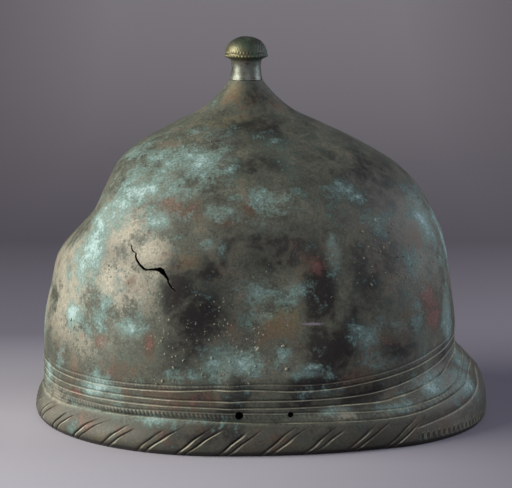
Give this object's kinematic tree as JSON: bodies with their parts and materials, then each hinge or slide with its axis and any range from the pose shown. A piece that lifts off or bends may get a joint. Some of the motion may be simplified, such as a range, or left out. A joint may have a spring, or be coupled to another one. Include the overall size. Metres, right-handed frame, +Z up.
{
  "type": "bronze bowl helmet",
  "caption": "Dented bowl helmet of patinated bronze with a cast crest knob, a cable rim that spreads into a neck guard, and a hanging ring.",
  "frame": {"origin": "middle of the bounding box, on the plane that the rim rests on", "axes": "+Z up through the knob, -X towards the brow, +X towards the neck guard, -Y towards the wearer's left"},
  "size_m": [0.2585, 0.211, 0.2128],
  "materials": {
    "patinated_bronze": "matt green and brown patina",
    "knob_bronze": "handled patina, partly rubbed bright",
    "lead_filling": "dull grey, oxidised",
    "dark_bronze": "dark worn patina"
  },
  "bodies": {
    "helmet": {"bowl": "patinated_bronze", "crest_knob": "knob_bronze", "knob_core": "lead_filling", "neck_ring_pin": "dark_bronze"},
    "ring": {"neck_ring": "dark_bronze"}
  },
  "joints": [
    {"name": "ring_swing", "type": "hinge", "parent": "helmet", "child": "ring", "pos_m": [0.1187, 0, 0.02253], "axis": [0, 1, 0], "range_deg": [-8, 140]}
  ]
}
